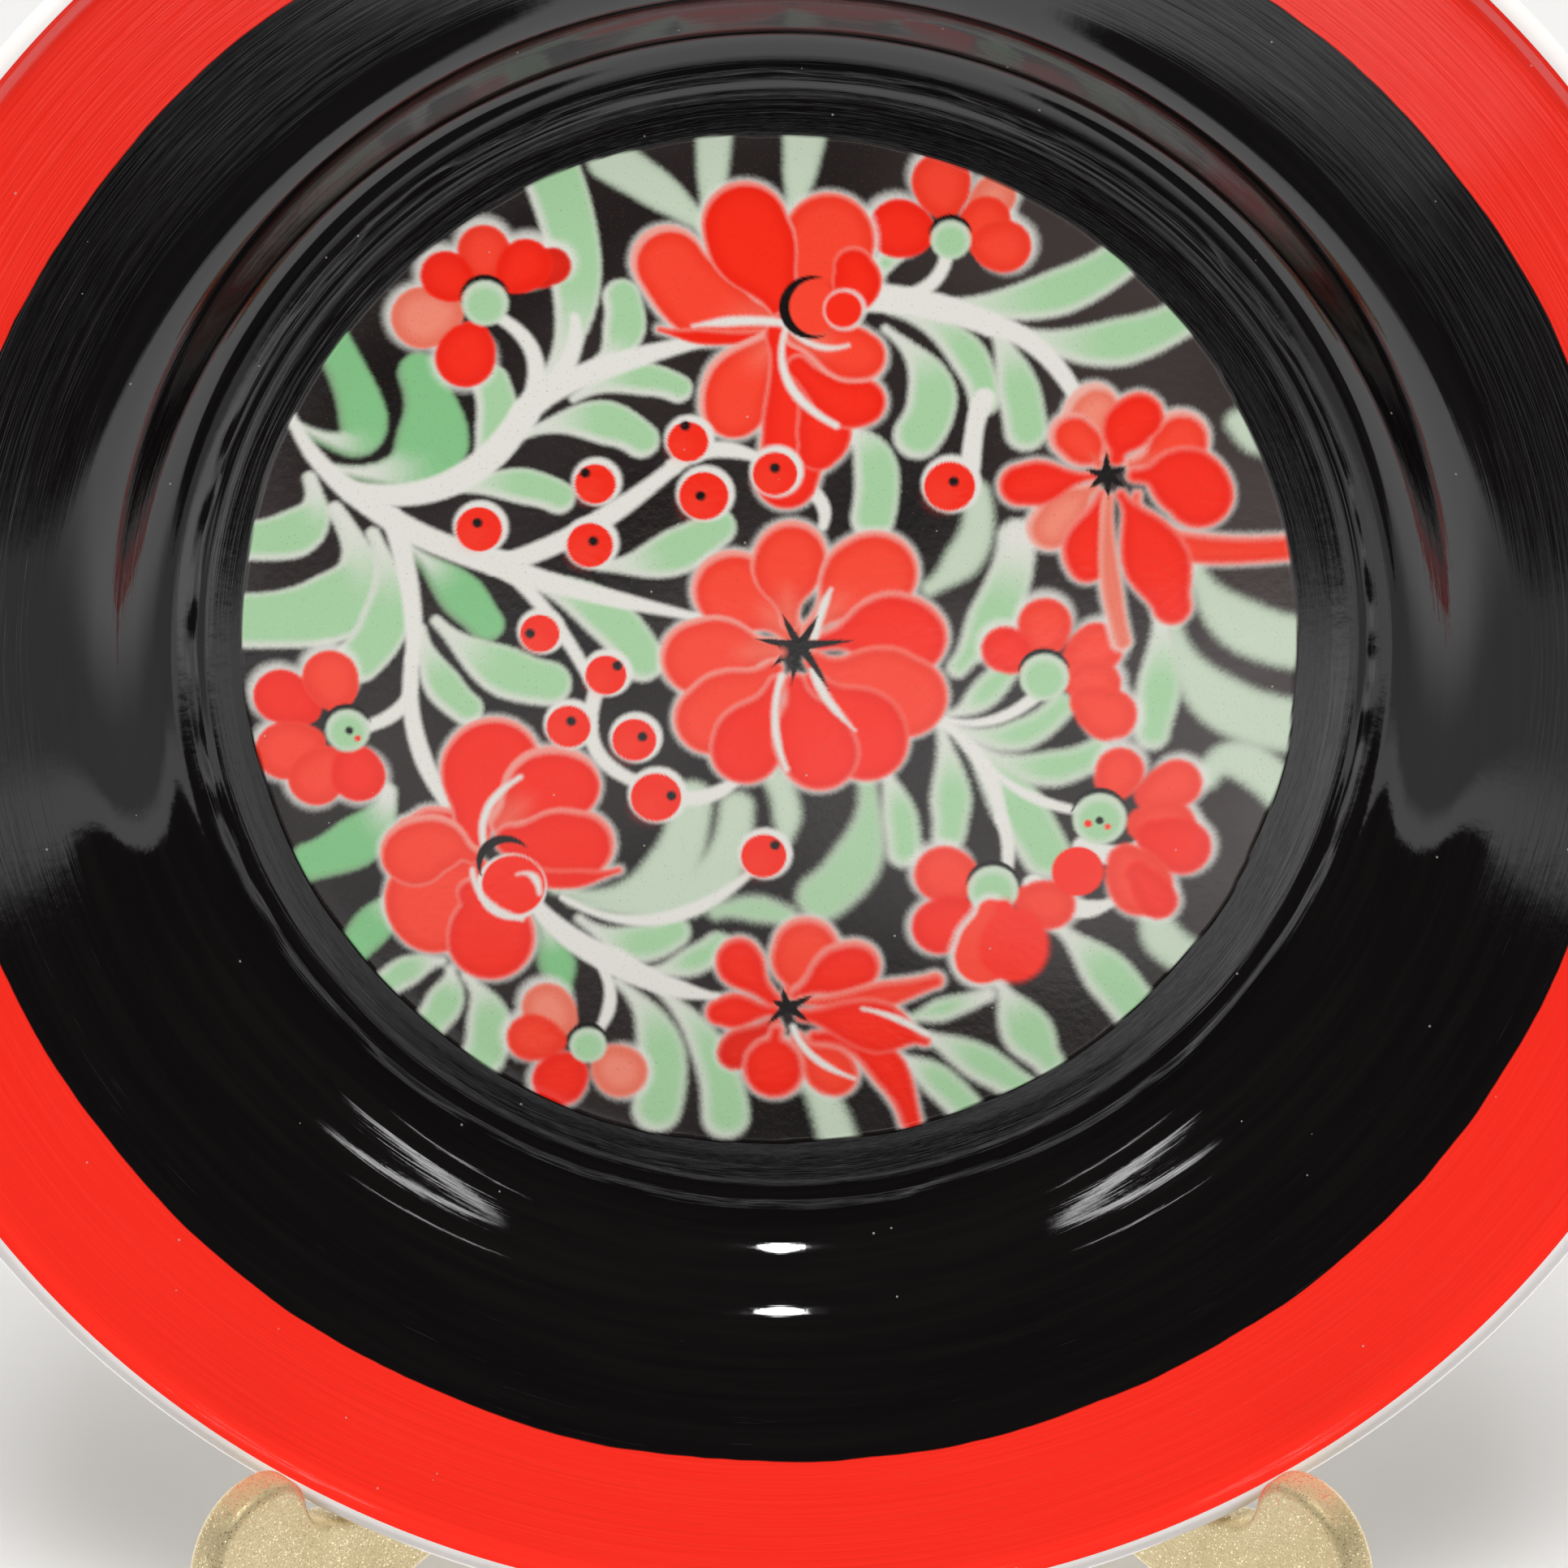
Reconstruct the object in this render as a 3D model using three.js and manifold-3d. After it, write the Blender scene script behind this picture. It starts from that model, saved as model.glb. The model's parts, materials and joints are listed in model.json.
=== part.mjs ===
// Painted porcelain bowl leaning back on a two-piece interlocking display stand.
// Units are millimetres, +Z is up and the open side of the bowl faces -Y.
import * as THREE from 'three';
import { mergeVertices } from 'three/addons/utils/BufferGeometryUtils.js';
import Module from 'manifold-3d';

const wasm = await Module();
wasm.setup();

// Bowl
const RIM_RADIUS = 120;
const LIP_THICKNESS = 3.6;
const FLOOR_DEPTH = 19.2;
const FLOOR_THICKNESS = 4.4;
const FOOT_RADIUS = 62;
const FOOT_WIDTH = 5;
const FOOT_DEPTH = 28.5;
const LEAN = THREE.MathUtils.degToRad(15);
const BOWL_SEGMENTS = 96;

// Stand
const BOARD_THICKNESS = 5;
const BOARD_EDGE = 1.1;
const SPLAY = THREE.MathUtils.degToRad(45);
const HOOK_X = 58.5;
const LEDGE_HEIGHT = 28;
const CROSSING = HOOK_X / Math.sin(SPLAY);
const SLOT_CLEARANCE = 0.3;
const SLOT_MIDDLE = 72;
const BOWL_CLEARANCE = 0.35;
const REST_CLEARANCE = 0.45;

// The lip circle's height above the ledge where it drops into the hooks.
const HOOK_DROP = Math.sqrt(RIM_RADIUS ** 2 - HOOK_X ** 2);
const LIP_Y = HOOK_DROP * Math.sin(LEAN);
const LIP_Z = LEDGE_HEIGHT + 1 + HOOK_DROP * Math.cos(LEAN);

const GLAZE = new THREE.MeshStandardMaterial({ color: 0x141212, roughness: 0.12, metalness: 0 });
const GOLD = new THREE.MeshStandardMaterial({ color: 0xc9b88f, roughness: 0.45, metalness: 0.6 });

function toManifold(geometry) {
  const plain = geometry.clone();
  plain.deleteAttribute('normal');
  plain.deleteAttribute('uv');
  const merged = mergeVertices(plain, 1e-4);
  return new wasm.Manifold(new wasm.Mesh({
    numProp: 3,
    vertProperties: new Float32Array(merged.attributes.position.array),
    triVerts: new Uint32Array(merged.index.array),
  }));
}

function fromManifold(solid) {
  const mesh = solid.getMesh();
  const geometry = new THREE.BufferGeometry();
  geometry.setAttribute('position', new THREE.BufferAttribute(mesh.vertProperties, 3));
  geometry.setIndex(new THREE.BufferAttribute(mesh.triVerts, 1));
  geometry.computeVertexNormals();
  return geometry;
}

function named(name, geometry, material) {
  const mesh = new THREE.Mesh(geometry, material);
  mesh.name = name;
  return mesh;
}

// Outline of half the bowl as [radius, depth behind the lip plane]: front, lip, back, foot.
function bowlProfile(grow) {
  const lip = LIP_THICKNESS / 2;
  const under = FLOOR_DEPTH + FLOOR_THICKNESS;
  const points = [
    [0, FLOOR_DEPTH - grow],
    [64, FLOOR_DEPTH - grow],
    [70.6, FLOOR_DEPTH - 0.1 - grow],
    [72.6, FLOOR_DEPTH - 0.3 - grow],
    [75.4, 18 - grow],
    [78, 16.2 - grow],
    [83, 11.4 - grow],
    [85.4, 9.6 - grow],
    [88.4, 8.5 - grow],
    [101.1, 5.3 - grow],
    [118.4, 0.6 - grow],
  ];
  for (let i = 1; i <= 6; i += 1) {
    const turn = Math.PI * (0.62 - 0.2 * i);
    points.push([
      RIM_RADIUS - lip + (lip + grow) * Math.cos(turn),
      lip - (lip + grow) * Math.sin(turn),
    ]);
  }
  points.push(
    [101.5, 9.4 + grow],
    [91, 12.4 + grow],
    [87.6, 14.4 + grow],
    [81, 20.6 + grow],
    [76.5, 23.2 + grow],
    [FOOT_RADIUS + 2.4, under + 0.8 + grow],
    [FOOT_RADIUS + grow, under + 2],
    [FOOT_RADIUS - 0.4 + grow, FOOT_DEPTH - 0.6 + grow],
    [FOOT_RADIUS - 1.2, FOOT_DEPTH + grow],
    [FOOT_RADIUS - FOOT_WIDTH + 1.2, FOOT_DEPTH + grow],
    [FOOT_RADIUS - FOOT_WIDTH + 0.4 - grow, FOOT_DEPTH - 0.6 + grow],
    [FOOT_RADIUS - FOOT_WIDTH - 0.6 - grow, under + 0.6],
    [FOOT_RADIUS - FOOT_WIDTH - 2.4 - grow, under + grow],
    [0, under + grow],
  );
  return points;
}

// A surface of revolution about the bowl's own axis, leaned back onto the stand.
function bowlSolid(grow) {
  const profile = bowlProfile(grow).map(([r, d]) => new THREE.Vector2(r, -d));
  profile.push(profile[0].clone());
  const geometry = new THREE.LatheGeometry(profile.reverse(), BOWL_SEGMENTS);
  geometry.rotateX(Math.PI - LEAN);
  geometry.translate(0, LIP_Y, LIP_Z);
  return toManifold(geometry);
}

// Depth of the foot plane behind the lip, measured along a board at height z.
function restAt(z) {
  const y = (FOOT_DEPTH + REST_CLEARANCE) / Math.cos(LEAN) + (z - LIP_Z) * Math.tan(LEAN);
  return (LIP_Y + y) / Math.cos(SPLAY) + BOARD_THICKNESS / 2;
}

// Side outline of one board: s runs from the hook towards the back, z is height.
function boardOutline() {
  const top = LIP_Z + 46;
  const shape = new THREE.Shape();
  shape.moveTo(-18.5, 0);
  shape.lineTo(-18.5, LEDGE_HEIGHT - 4);
  shape.bezierCurveTo(-18.4, LEDGE_HEIGHT + 4, -14.5, LEDGE_HEIGHT + 9.4, -8.4, LEDGE_HEIGHT + 9.4);
  shape.bezierCurveTo(-4.6, LEDGE_HEIGHT + 9.4, -2.6, LEDGE_HEIGHT + 7.6, -2, LEDGE_HEIGHT + 4.6);
  shape.bezierCurveTo(-1.6, LEDGE_HEIGHT + 1.4, -0.8, LEDGE_HEIGHT - 0.6, 1.2, LEDGE_HEIGHT - 1);
  shape.bezierCurveTo(3.4, LEDGE_HEIGHT - 1.6, 6, LEDGE_HEIGHT - 3.4, 10, LEDGE_HEIGHT - 3.8);
  shape.lineTo(restAt(LEDGE_HEIGHT) - 10, LEDGE_HEIGHT - 3.8);
  shape.quadraticCurveTo(
    restAt(LEDGE_HEIGHT) - 1, LEDGE_HEIGHT - 3.8, restAt(LEDGE_HEIGHT + 7), LEDGE_HEIGHT + 7,
  );
  shape.lineTo(restAt(top - 8), top - 8);
  shape.quadraticCurveTo(restAt(top), top, restAt(top) + 7, top);
  shape.lineTo(restAt(top) + 13, top);
  shape.quadraticCurveTo(restAt(top) + 19, top, restAt(top) + 18, top - 8);
  shape.bezierCurveTo(restAt(top) + 12, 100, restAt(top) + 12, 60, 139, 6);
  shape.lineTo(140, 0);
  shape.lineTo(126, 0);
  shape.bezierCurveTo(116, 9, 104, 14, 88, 14);
  shape.lineTo(36, 14);
  shape.bezierCurveTo(20, 13, 4, 11, -6, 0);
  shape.closePath();
  return shape;
}

function box(sMin, sMax, zMin, zMax) {
  const geometry = new THREE.BoxGeometry(sMax - sMin, BOARD_THICKNESS * 3, zMax - zMin);
  geometry.translate((sMin + sMax) / 2, 0, (zMin + zMax) / 2);
  return toManifold(geometry);
}

// One board, standing on its feet with its thickness centred on the s-z plane.
function boardSolid(slotFromBelow) {
  const geometry = new THREE.ExtrudeGeometry(boardOutline(), {
    depth: BOARD_THICKNESS - 2 * BOARD_EDGE,
    curveSegments: 7,
    bevelEnabled: true,
    bevelThickness: BOARD_EDGE,
    bevelSize: BOARD_EDGE,
    bevelOffset: -BOARD_EDGE,
    bevelSegments: 2,
  });
  geometry.translate(0, 0, BOARD_EDGE - BOARD_THICKNESS / 2);
  geometry.rotateX(Math.PI / 2);
  const half = BOARD_THICKNESS / 2 + SLOT_CLEARANCE;
  const slot = slotFromBelow
    ? box(CROSSING - half, CROSSING + half, -1, SLOT_MIDDLE + SLOT_CLEARANCE)
    : box(CROSSING - half, CROSSING + half, SLOT_MIDDLE - SLOT_CLEARANCE, LIP_Z + 60);
  return toManifold(geometry).subtract(slot);
}

// Turns a board to its place: side is -1 for the left hook and 1 for the right.
function placed(solid, side) {
  const geometry = fromManifold(solid);
  geometry.rotateZ(Math.PI / 2 + side * SPLAY);
  geometry.translate(side * HOOK_X, 0, 0);
  return toManifold(geometry);
}

const keepOut = bowlSolid(BOWL_CLEARANCE);
const bowl = named('bowl', fromManifold(bowlSolid(0)), GLAZE);
const left = named('stand_left', fromManifold(placed(boardSolid(true), -1).subtract(keepOut)), GOLD);
const right = named('stand_right', fromManifold(placed(boardSolid(false), 1).subtract(keepOut)), GOLD);

const group = new THREE.Group();
group.name = 'painted_bowl_on_stand';
group.add(bowl, left, right);

// The origin is the middle of the footprint, on the table.
const bounds = new THREE.Box3().setFromObject(group);
for (const piece of group.children) {
  piece.geometry.translate(
    -(bounds.min.x + bounds.max.x) / 2,
    -(bounds.min.y + bounds.max.y) / 2,
    -bounds.min.z,
  );
}

export default group;
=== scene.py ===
"""Painted porcelain bowl on a gold display stand: looks, lights and camera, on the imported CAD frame."""

import json
import math

import bpy
import numpy as np
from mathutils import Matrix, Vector


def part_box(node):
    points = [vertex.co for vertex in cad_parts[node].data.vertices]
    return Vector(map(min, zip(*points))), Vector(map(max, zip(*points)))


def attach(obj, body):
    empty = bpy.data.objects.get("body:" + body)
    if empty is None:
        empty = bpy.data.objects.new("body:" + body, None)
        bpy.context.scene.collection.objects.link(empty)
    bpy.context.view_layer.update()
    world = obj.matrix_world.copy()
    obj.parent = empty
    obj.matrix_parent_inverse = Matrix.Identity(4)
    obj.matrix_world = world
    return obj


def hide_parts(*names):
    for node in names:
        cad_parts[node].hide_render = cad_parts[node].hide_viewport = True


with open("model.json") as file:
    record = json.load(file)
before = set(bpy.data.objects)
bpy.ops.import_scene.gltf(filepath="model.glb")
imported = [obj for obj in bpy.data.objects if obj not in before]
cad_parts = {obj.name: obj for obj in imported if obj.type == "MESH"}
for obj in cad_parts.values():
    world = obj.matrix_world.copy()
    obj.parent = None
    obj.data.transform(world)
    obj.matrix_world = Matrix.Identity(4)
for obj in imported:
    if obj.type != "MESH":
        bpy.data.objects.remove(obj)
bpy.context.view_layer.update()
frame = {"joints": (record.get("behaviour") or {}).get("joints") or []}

MM = 0.001
# The bowl in mm: radii, then depths behind the mouth. The lip is a ring LIP thick in radius.
RIM = 120.0
LIP = 1.8
RED_OUTER = 117.8
RED_INNER = 101.1
MEDALLION = 64.3
DISC_EDGE = 67.0
FLOOR_DEPTH = 19.2
FOOT_DEPTH = 28.45
# Between the foot ring and the boards, in mm.
FOOT_GAP = 0.5
# Points round the bowl's back; its painted front has twice as many.
SEGMENTS = 720

# The bowl leans the way the lift joint slides.
lift = frame["joints"][0]["axis"]
LEAN = math.atan2(lift[1], lift[2])
UP = np.array([0.0, math.sin(LEAN), math.cos(LEAN)])
BACK = np.array([0.0, math.cos(LEAN), -math.sin(LEAN)])


def lip_centre():
    """The middle of the bowl's mouth, from the bowl's CAD box."""
    low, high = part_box("bowl")
    ring = RIM - LIP
    y = low.y / MM + ring * math.sin(LEAN) - LIP * math.cos(LEAN) + LIP
    z = (low.z + high.z) / 2 / MM + LIP * math.sin(LEAN)
    return np.array([0.0, y, z])


CENTRE = lip_centre()


def place(x, p, d):
    """Bowl coordinates in mm (across, up the mouth, depth behind it) to row metres."""
    x, p, d = (np.asarray(v, float)[..., None] for v in (x, p, d))
    return (CENTRE + x * np.array([1.0, 0.0, 0.0]) + p * UP + d * BACK) * MM


def smooth(value, low, high):
    t = np.clip((value - low) / (high - low), 0, 1)
    return t * t * (3 - 2 * t)


def linear(*rgb):
    """sRGB 0-255 to linear."""
    c = np.array(rgb, float) / 255
    return np.where(c <= 0.04045, c / 12.92, ((c + 0.055) / 1.055) ** 2.4)


def make_mesh(name, points, faces, attributes):
    """A mesh object from numpy points and blocks of equal-sided faces, with named vertex attributes."""
    mesh = bpy.data.meshes.new(name)
    mesh.vertices.add(len(points))
    mesh.vertices.foreach_set("co", np.asarray(points, np.float32).ravel())
    sizes = np.concatenate([np.full(len(block), block.shape[1]) for block in faces]).astype(np.int32)
    flat = np.concatenate([block.ravel() for block in faces]).astype(np.int32)
    mesh.loops.add(len(flat))
    mesh.loops.foreach_set("vertex_index", flat)
    mesh.polygons.add(len(sizes))
    starts = np.concatenate([[0], np.cumsum(sizes)[:-1]]).astype(np.int32)
    mesh.polygons.foreach_set("loop_start", starts)
    mesh.polygons.foreach_set("use_smooth", np.ones(len(sizes), bool))
    mesh.update(calc_edges=True)
    mesh.validate()
    for key, kind, values in attributes:
        slot = mesh.attributes.new(key, kind, "POINT")
        field = {"FLOAT_COLOR": "color", "FLOAT_VECTOR": "vector", "FLOAT": "value"}[kind]
        slot.data.foreach_set(field, np.asarray(values, np.float32).ravel())
    obj = bpy.data.objects.new(name, mesh)
    bpy.context.scene.collection.objects.link(obj)
    return obj


def round_corners(points, times):
    """Chaikin's corner cutting on an open outline, keeping both ends."""
    line = np.array(points, float)
    for _ in range(times):
        a, b = line[:-1], line[1:]
        cut = np.stack([a * 0.75 + b * 0.25, a * 0.25 + b * 0.75], 1).reshape(-1, 2)
        line = np.vstack([line[:1], cut, line[-1:]])
    return line


def fill_in(line, step):
    """More points along an outline, so that neighbours are at most step apart."""
    out = [line[0]]
    for a, b in zip(line[:-1], line[1:]):
        n = max(1, int(math.ceil(np.linalg.norm(b - a) / step)))
        out += [a + (b - a) * i / n for i in range(1, n + 1)]
    return np.array(out)


def wobble(turn, seed, lows, highs, size):
    """A smooth closed wave round the bowl: the wander of a hand-held brush."""
    rng = np.random.default_rng(seed)
    total = np.zeros_like(turn)
    for n in range(lows, highs):
        total += rng.normal() / n * np.cos(n * turn + rng.uniform(0, 2 * math.pi))
    return total * size


def revolve(name, outline, segments, lumps=None):
    """Sweeps an outline of [radius, depth] round the bowl's axis."""
    turn = np.arange(segments) * 2 * math.pi / segments
    r = np.repeat(outline[:, :1], segments, 1)
    d = np.repeat(outline[:, 1:], segments, 1)
    a = np.repeat(turn[None], len(outline), 0)
    if lumps is not None:
        d = d + lumps(r, a)
    points = place(r * np.cos(a), r * np.sin(a), d).reshape(-1, 3)
    polar = np.stack([np.cos(a), np.sin(a), r], -1).reshape(-1, 3)
    i, j = np.meshgrid(np.arange(len(outline) - 1), np.arange(segments), indexing="ij")
    k = (j + 1) % segments
    here, below = i * segments, (i + 1) * segments
    quads = np.stack([here + j, below + j, below + k, here + k], -1)
    return make_mesh(name, points, [quads.reshape(-1, 4)], [("polar", "FLOAT_VECTOR", polar)])


# -------- painted medallion

WHITE = linear(232, 231, 224)
PALE = linear(204, 220, 198)
GREEN = linear(170, 212, 166)
DEEP = linear(134, 198, 138)
RED = linear(254, 46, 26)
SALMON = linear(255, 72, 50)
PINK = linear(247, 142, 120)
BLACK = linear(20, 17, 17)
GROUND = linear(38, 33, 32)


class Canvas:
    """Paint on a set of points: each dab covers what is under it."""

    def __init__(self, x, y, seed=3):
        self.x, self.y = x, y
        cloud = sum(np.sin(x * a + y * b + c) for a, b, c in
                    ((0.11, 0.07, 1.0), (-0.06, 0.16, 2.2), (0.19, -0.12, 4.0), (0.05, 0.23, 0.4)))
        # The ground's own tone wanders a little. Towards the right and up it grows lighter: that part is a
        # painted reflection of the grey room in the glaze.
        self.colour = GROUND * (1 + 0.2 * cloud + 1.6 * smooth(x + 0.3 * y, 12, 62))[:, None]
        self.grain = np.random.default_rng(seed).normal(size=(2, len(x)))
        self.order = np.argsort(x)
        self.sorted_x = x[self.order]

    def near(self, xs, ys, reach):
        """Indices of the points near a path."""
        a = np.searchsorted(self.sorted_x, min(xs) - reach)
        b = np.searchsorted(self.sorted_x, max(xs) + reach)
        some = self.order[a:b]
        y = self.y[some]
        return some[(y > min(ys) - reach) & (y < max(ys) + reach)]

    def cover(self, some, colour, amount):
        a = amount[:, None]
        self.colour[some] = self.colour[some] * (1 - a) + colour * a


def bezier(points, n):
    """n points along a quadratic curve through three points (or a straight line for two)."""
    p = np.array(points, float)
    t = np.linspace(0, 1, n)[:, None]
    if len(p) == 2:
        return p[0] + (p[1] - p[0]) * t
    middle = 2 * p[1] - (p[0] + p[2]) / 2
    return (1 - t) ** 2 * p[0] + 2 * t * (1 - t) * middle + t**2 * p[2]


def widths(radii, n):
    """Smooth half widths from start, belly and tip values."""
    t = np.linspace(0, 1, n)
    start, belly, tip = radii
    rise = start + (belly - start) * smooth(t, 0, 0.68)
    fall = belly + (tip - belly) * smooth(t, 0.6, 1)
    return np.where(t < 0.64, rise, fall)


def path_field(canvas, some, path, radii, soft, shift=(0, 0)):
    """Signed distance outside a path of varying width, and how far along it each point lies."""
    jitter = soft * 0.07
    x = canvas.x[some] + canvas.grain[0][some] * jitter - shift[0]
    y = canvas.y[some] + canvas.grain[1][some] * jitter - shift[1]
    best = np.full(len(some), 1e9)
    along = np.zeros(len(some))
    last = len(path) - 1
    for i in range(max(1, last)):
        (ax, ay), (bx, by) = path[i], path[min(i + 1, last)]
        ra, rb = radii[i], radii[min(i + 1, last)]
        dx, dy = bx - ax, by - ay
        t = np.clip(((x - ax) * dx + (y - ay) * dy) / max(dx * dx + dy * dy, 1e-9), 0, 1)
        f = np.hypot(x - ax - dx * t, y - ay - dy * t) - (ra + (rb - ra) * t)
        closer = f < best
        best = np.where(closer, f, best)
        along = np.where(closer, (i + t) / max(1, last), along)
    return best, along


def dab(canvas, points, radii, fill, rim=0.5, soft=0.4, halo=0.7, edge=WHITE, light=(0, 0), fade=None,
        strength=1.0, deep=0.0):
    """One leaf or petal: a soft white stroke under a smaller coloured one. light moves the colour off
    centre, so that the white shows more on one side. fade is the colour it starts from at the base,
    and deep darkens it towards its edge."""
    n = 18
    path, r = bezier(points, n), widths(radii, n)
    # The paint was sprayed on softer towards the lower right.
    spray = 0.7 + 0.55 * float(smooth(path[-1][0] - path[-1][1], -50, 50))
    soft, halo = soft * spray, halo * spray
    some = canvas.near(path[:, 0], path[:, 1], max(r) + 1.5 + halo * 2)
    if not len(some):
        return
    outer, _ = path_field(canvas, some, path, r, halo)
    canvas.cover(some, edge, (1 - smooth(outer, -halo * 0.7, halo)) * strength)
    inner, along = path_field(canvas, some, path, np.maximum(r - rim, 0.05), soft, light)
    inner = np.maximum(inner, outer + rim * 0.3)
    colour = fill if fade is None else fade + (fill - fade) * smooth(along, 0.0, 0.6)[:, None]
    colour = colour * (1 - deep * smooth(inner, -2.2, -0.1)[:, None] * np.array([0.15, 0.6, 0.7]))
    canvas.cover(some, colour, (1 - smooth(inner, -soft, soft)) * strength * smooth(along + r[0], 0, 0.35))


def stem(canvas, points, radii, colour=WHITE, soft=0.36):
    """One stroke of a single colour."""
    path, r = bezier(points, 22), widths(radii, 22)
    some = canvas.near(path[:, 0], path[:, 1], max(r) + 1.5)
    outer, _ = path_field(canvas, some, path, r, soft)
    canvas.cover(some, colour, 1 - smooth(outer, -soft, soft))


def disc(canvas, x, y, r, colour, soft=0.2, strength=1.0):
    some = canvas.near([x], [y], r + 1.5 + soft)
    f, _ = path_field(canvas, some, [(x, y)], [r], soft)
    canvas.cover(some, colour, (1 - smooth(f, -soft, soft)) * strength)


def berry(canvas, x, y, r, dot):
    """A red berry with a white halo on one side and a black dot."""
    disc(canvas, x + 0.2, y + 0.3, r + 0.55, WHITE, 0.35)
    disc(canvas, x, y, r, RED * 0.97, 0.14)
    disc(canvas, x - 0.3 * r, y - 0.35 * r, r * 0.55, SALMON, r * 0.5, 0.35)
    disc(canvas, x + dot[0], y + dot[1], 0.62, BLACK, 0.16)


def star(canvas, x, y, tips):
    """Thin tapering black rays from one point."""
    for dx, dy in tips:
        bend = (x + dx * 0.5, y + dy * 0.45)
        stem(canvas, [(x, y), bend, (x + dx, y + dy)], (0.62, 0.36, 0.04), BLACK, 0.1)
    disc(canvas, x, y, 0.5, BLACK, 0.12)


def crescent(canvas, x, y, radius, start, end, width):
    """A black arc from start to end degrees, thickest in its middle."""
    turns = np.radians(np.linspace(start, end, 24))
    path = np.stack([x + radius * np.cos(turns), y + radius * np.sin(turns)], 1)
    r = width * np.sin(np.linspace(0.06, math.pi - 0.06, 24))
    some = canvas.near(path[:, 0], path[:, 1], width + 1)
    f, _ = path_field(canvas, some, path, r, 0.14)
    canvas.cover(some, BLACK, 1 - smooth(f, -0.14, 0.14))


# Leaves are commas: base, bend, tip, then the half widths and the green.
SOFT_LEAVES = [
    ((-28, -30.5), (-16, -30), (-11, -19), (0.4, 3, 2.4), PALE),
    ((-26, -32), (-11, -31.5), (-5.5, -20), (0.4, 2.8, 2), PALE),
    ((-8, -33.5), (-4, -33), (0.5, -34), (0.8, 1.6, 1.2), GREEN),
    ((10.5, -17), (9.8, -25.5), (5, -31.5), (1, 3.1, 3), GREEN),
    ((-0.5, -16.5), (0.6, -20), (0.4, -23.5), (1.5, 1.6, 1), PALE),
    ((23.5, 20), (23, 13.5), (18, 8.2), (1.6, 2.2, 0.9), PALE),
    ((55, 29), (56.5, 27.5), (58.5, 26), (1.4, 1.7, 1.2), PALE),
    ((4, -56.5), (5.5, -59), (7, -63.5), (1.4, 2, 2.2), PALE),
    ((50, 12), (54.5, 4.5), (64, 1), (0.7, 3.2, 3.2), PALE),
    ((47.5, 5), (52, -5), (63, -9.5), (0.7, 3.3, 3.3), PALE),
    ((52, -16), (56, -13.8), (62, -18.5), (1.4, 2.5, 2.4), PALE),
    ((46.5, -31), (46.5, -36), (50.5, -39.5), (1.4, 2.3, 2.2), PALE),
    ((-9, 53), (-13.8, 57), (-20.5, 61.5), (0.9, 2.3, 2.6), PALE),
    ((-8.4, 55), (-8.2, 60), (-8, 65), (1.2, 1.9, 2.1), PALE),
    ((1.6, 56), (2.2, 60), (2.8, 65), (1.1, 2.1, 2.5), PALE),
]
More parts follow.
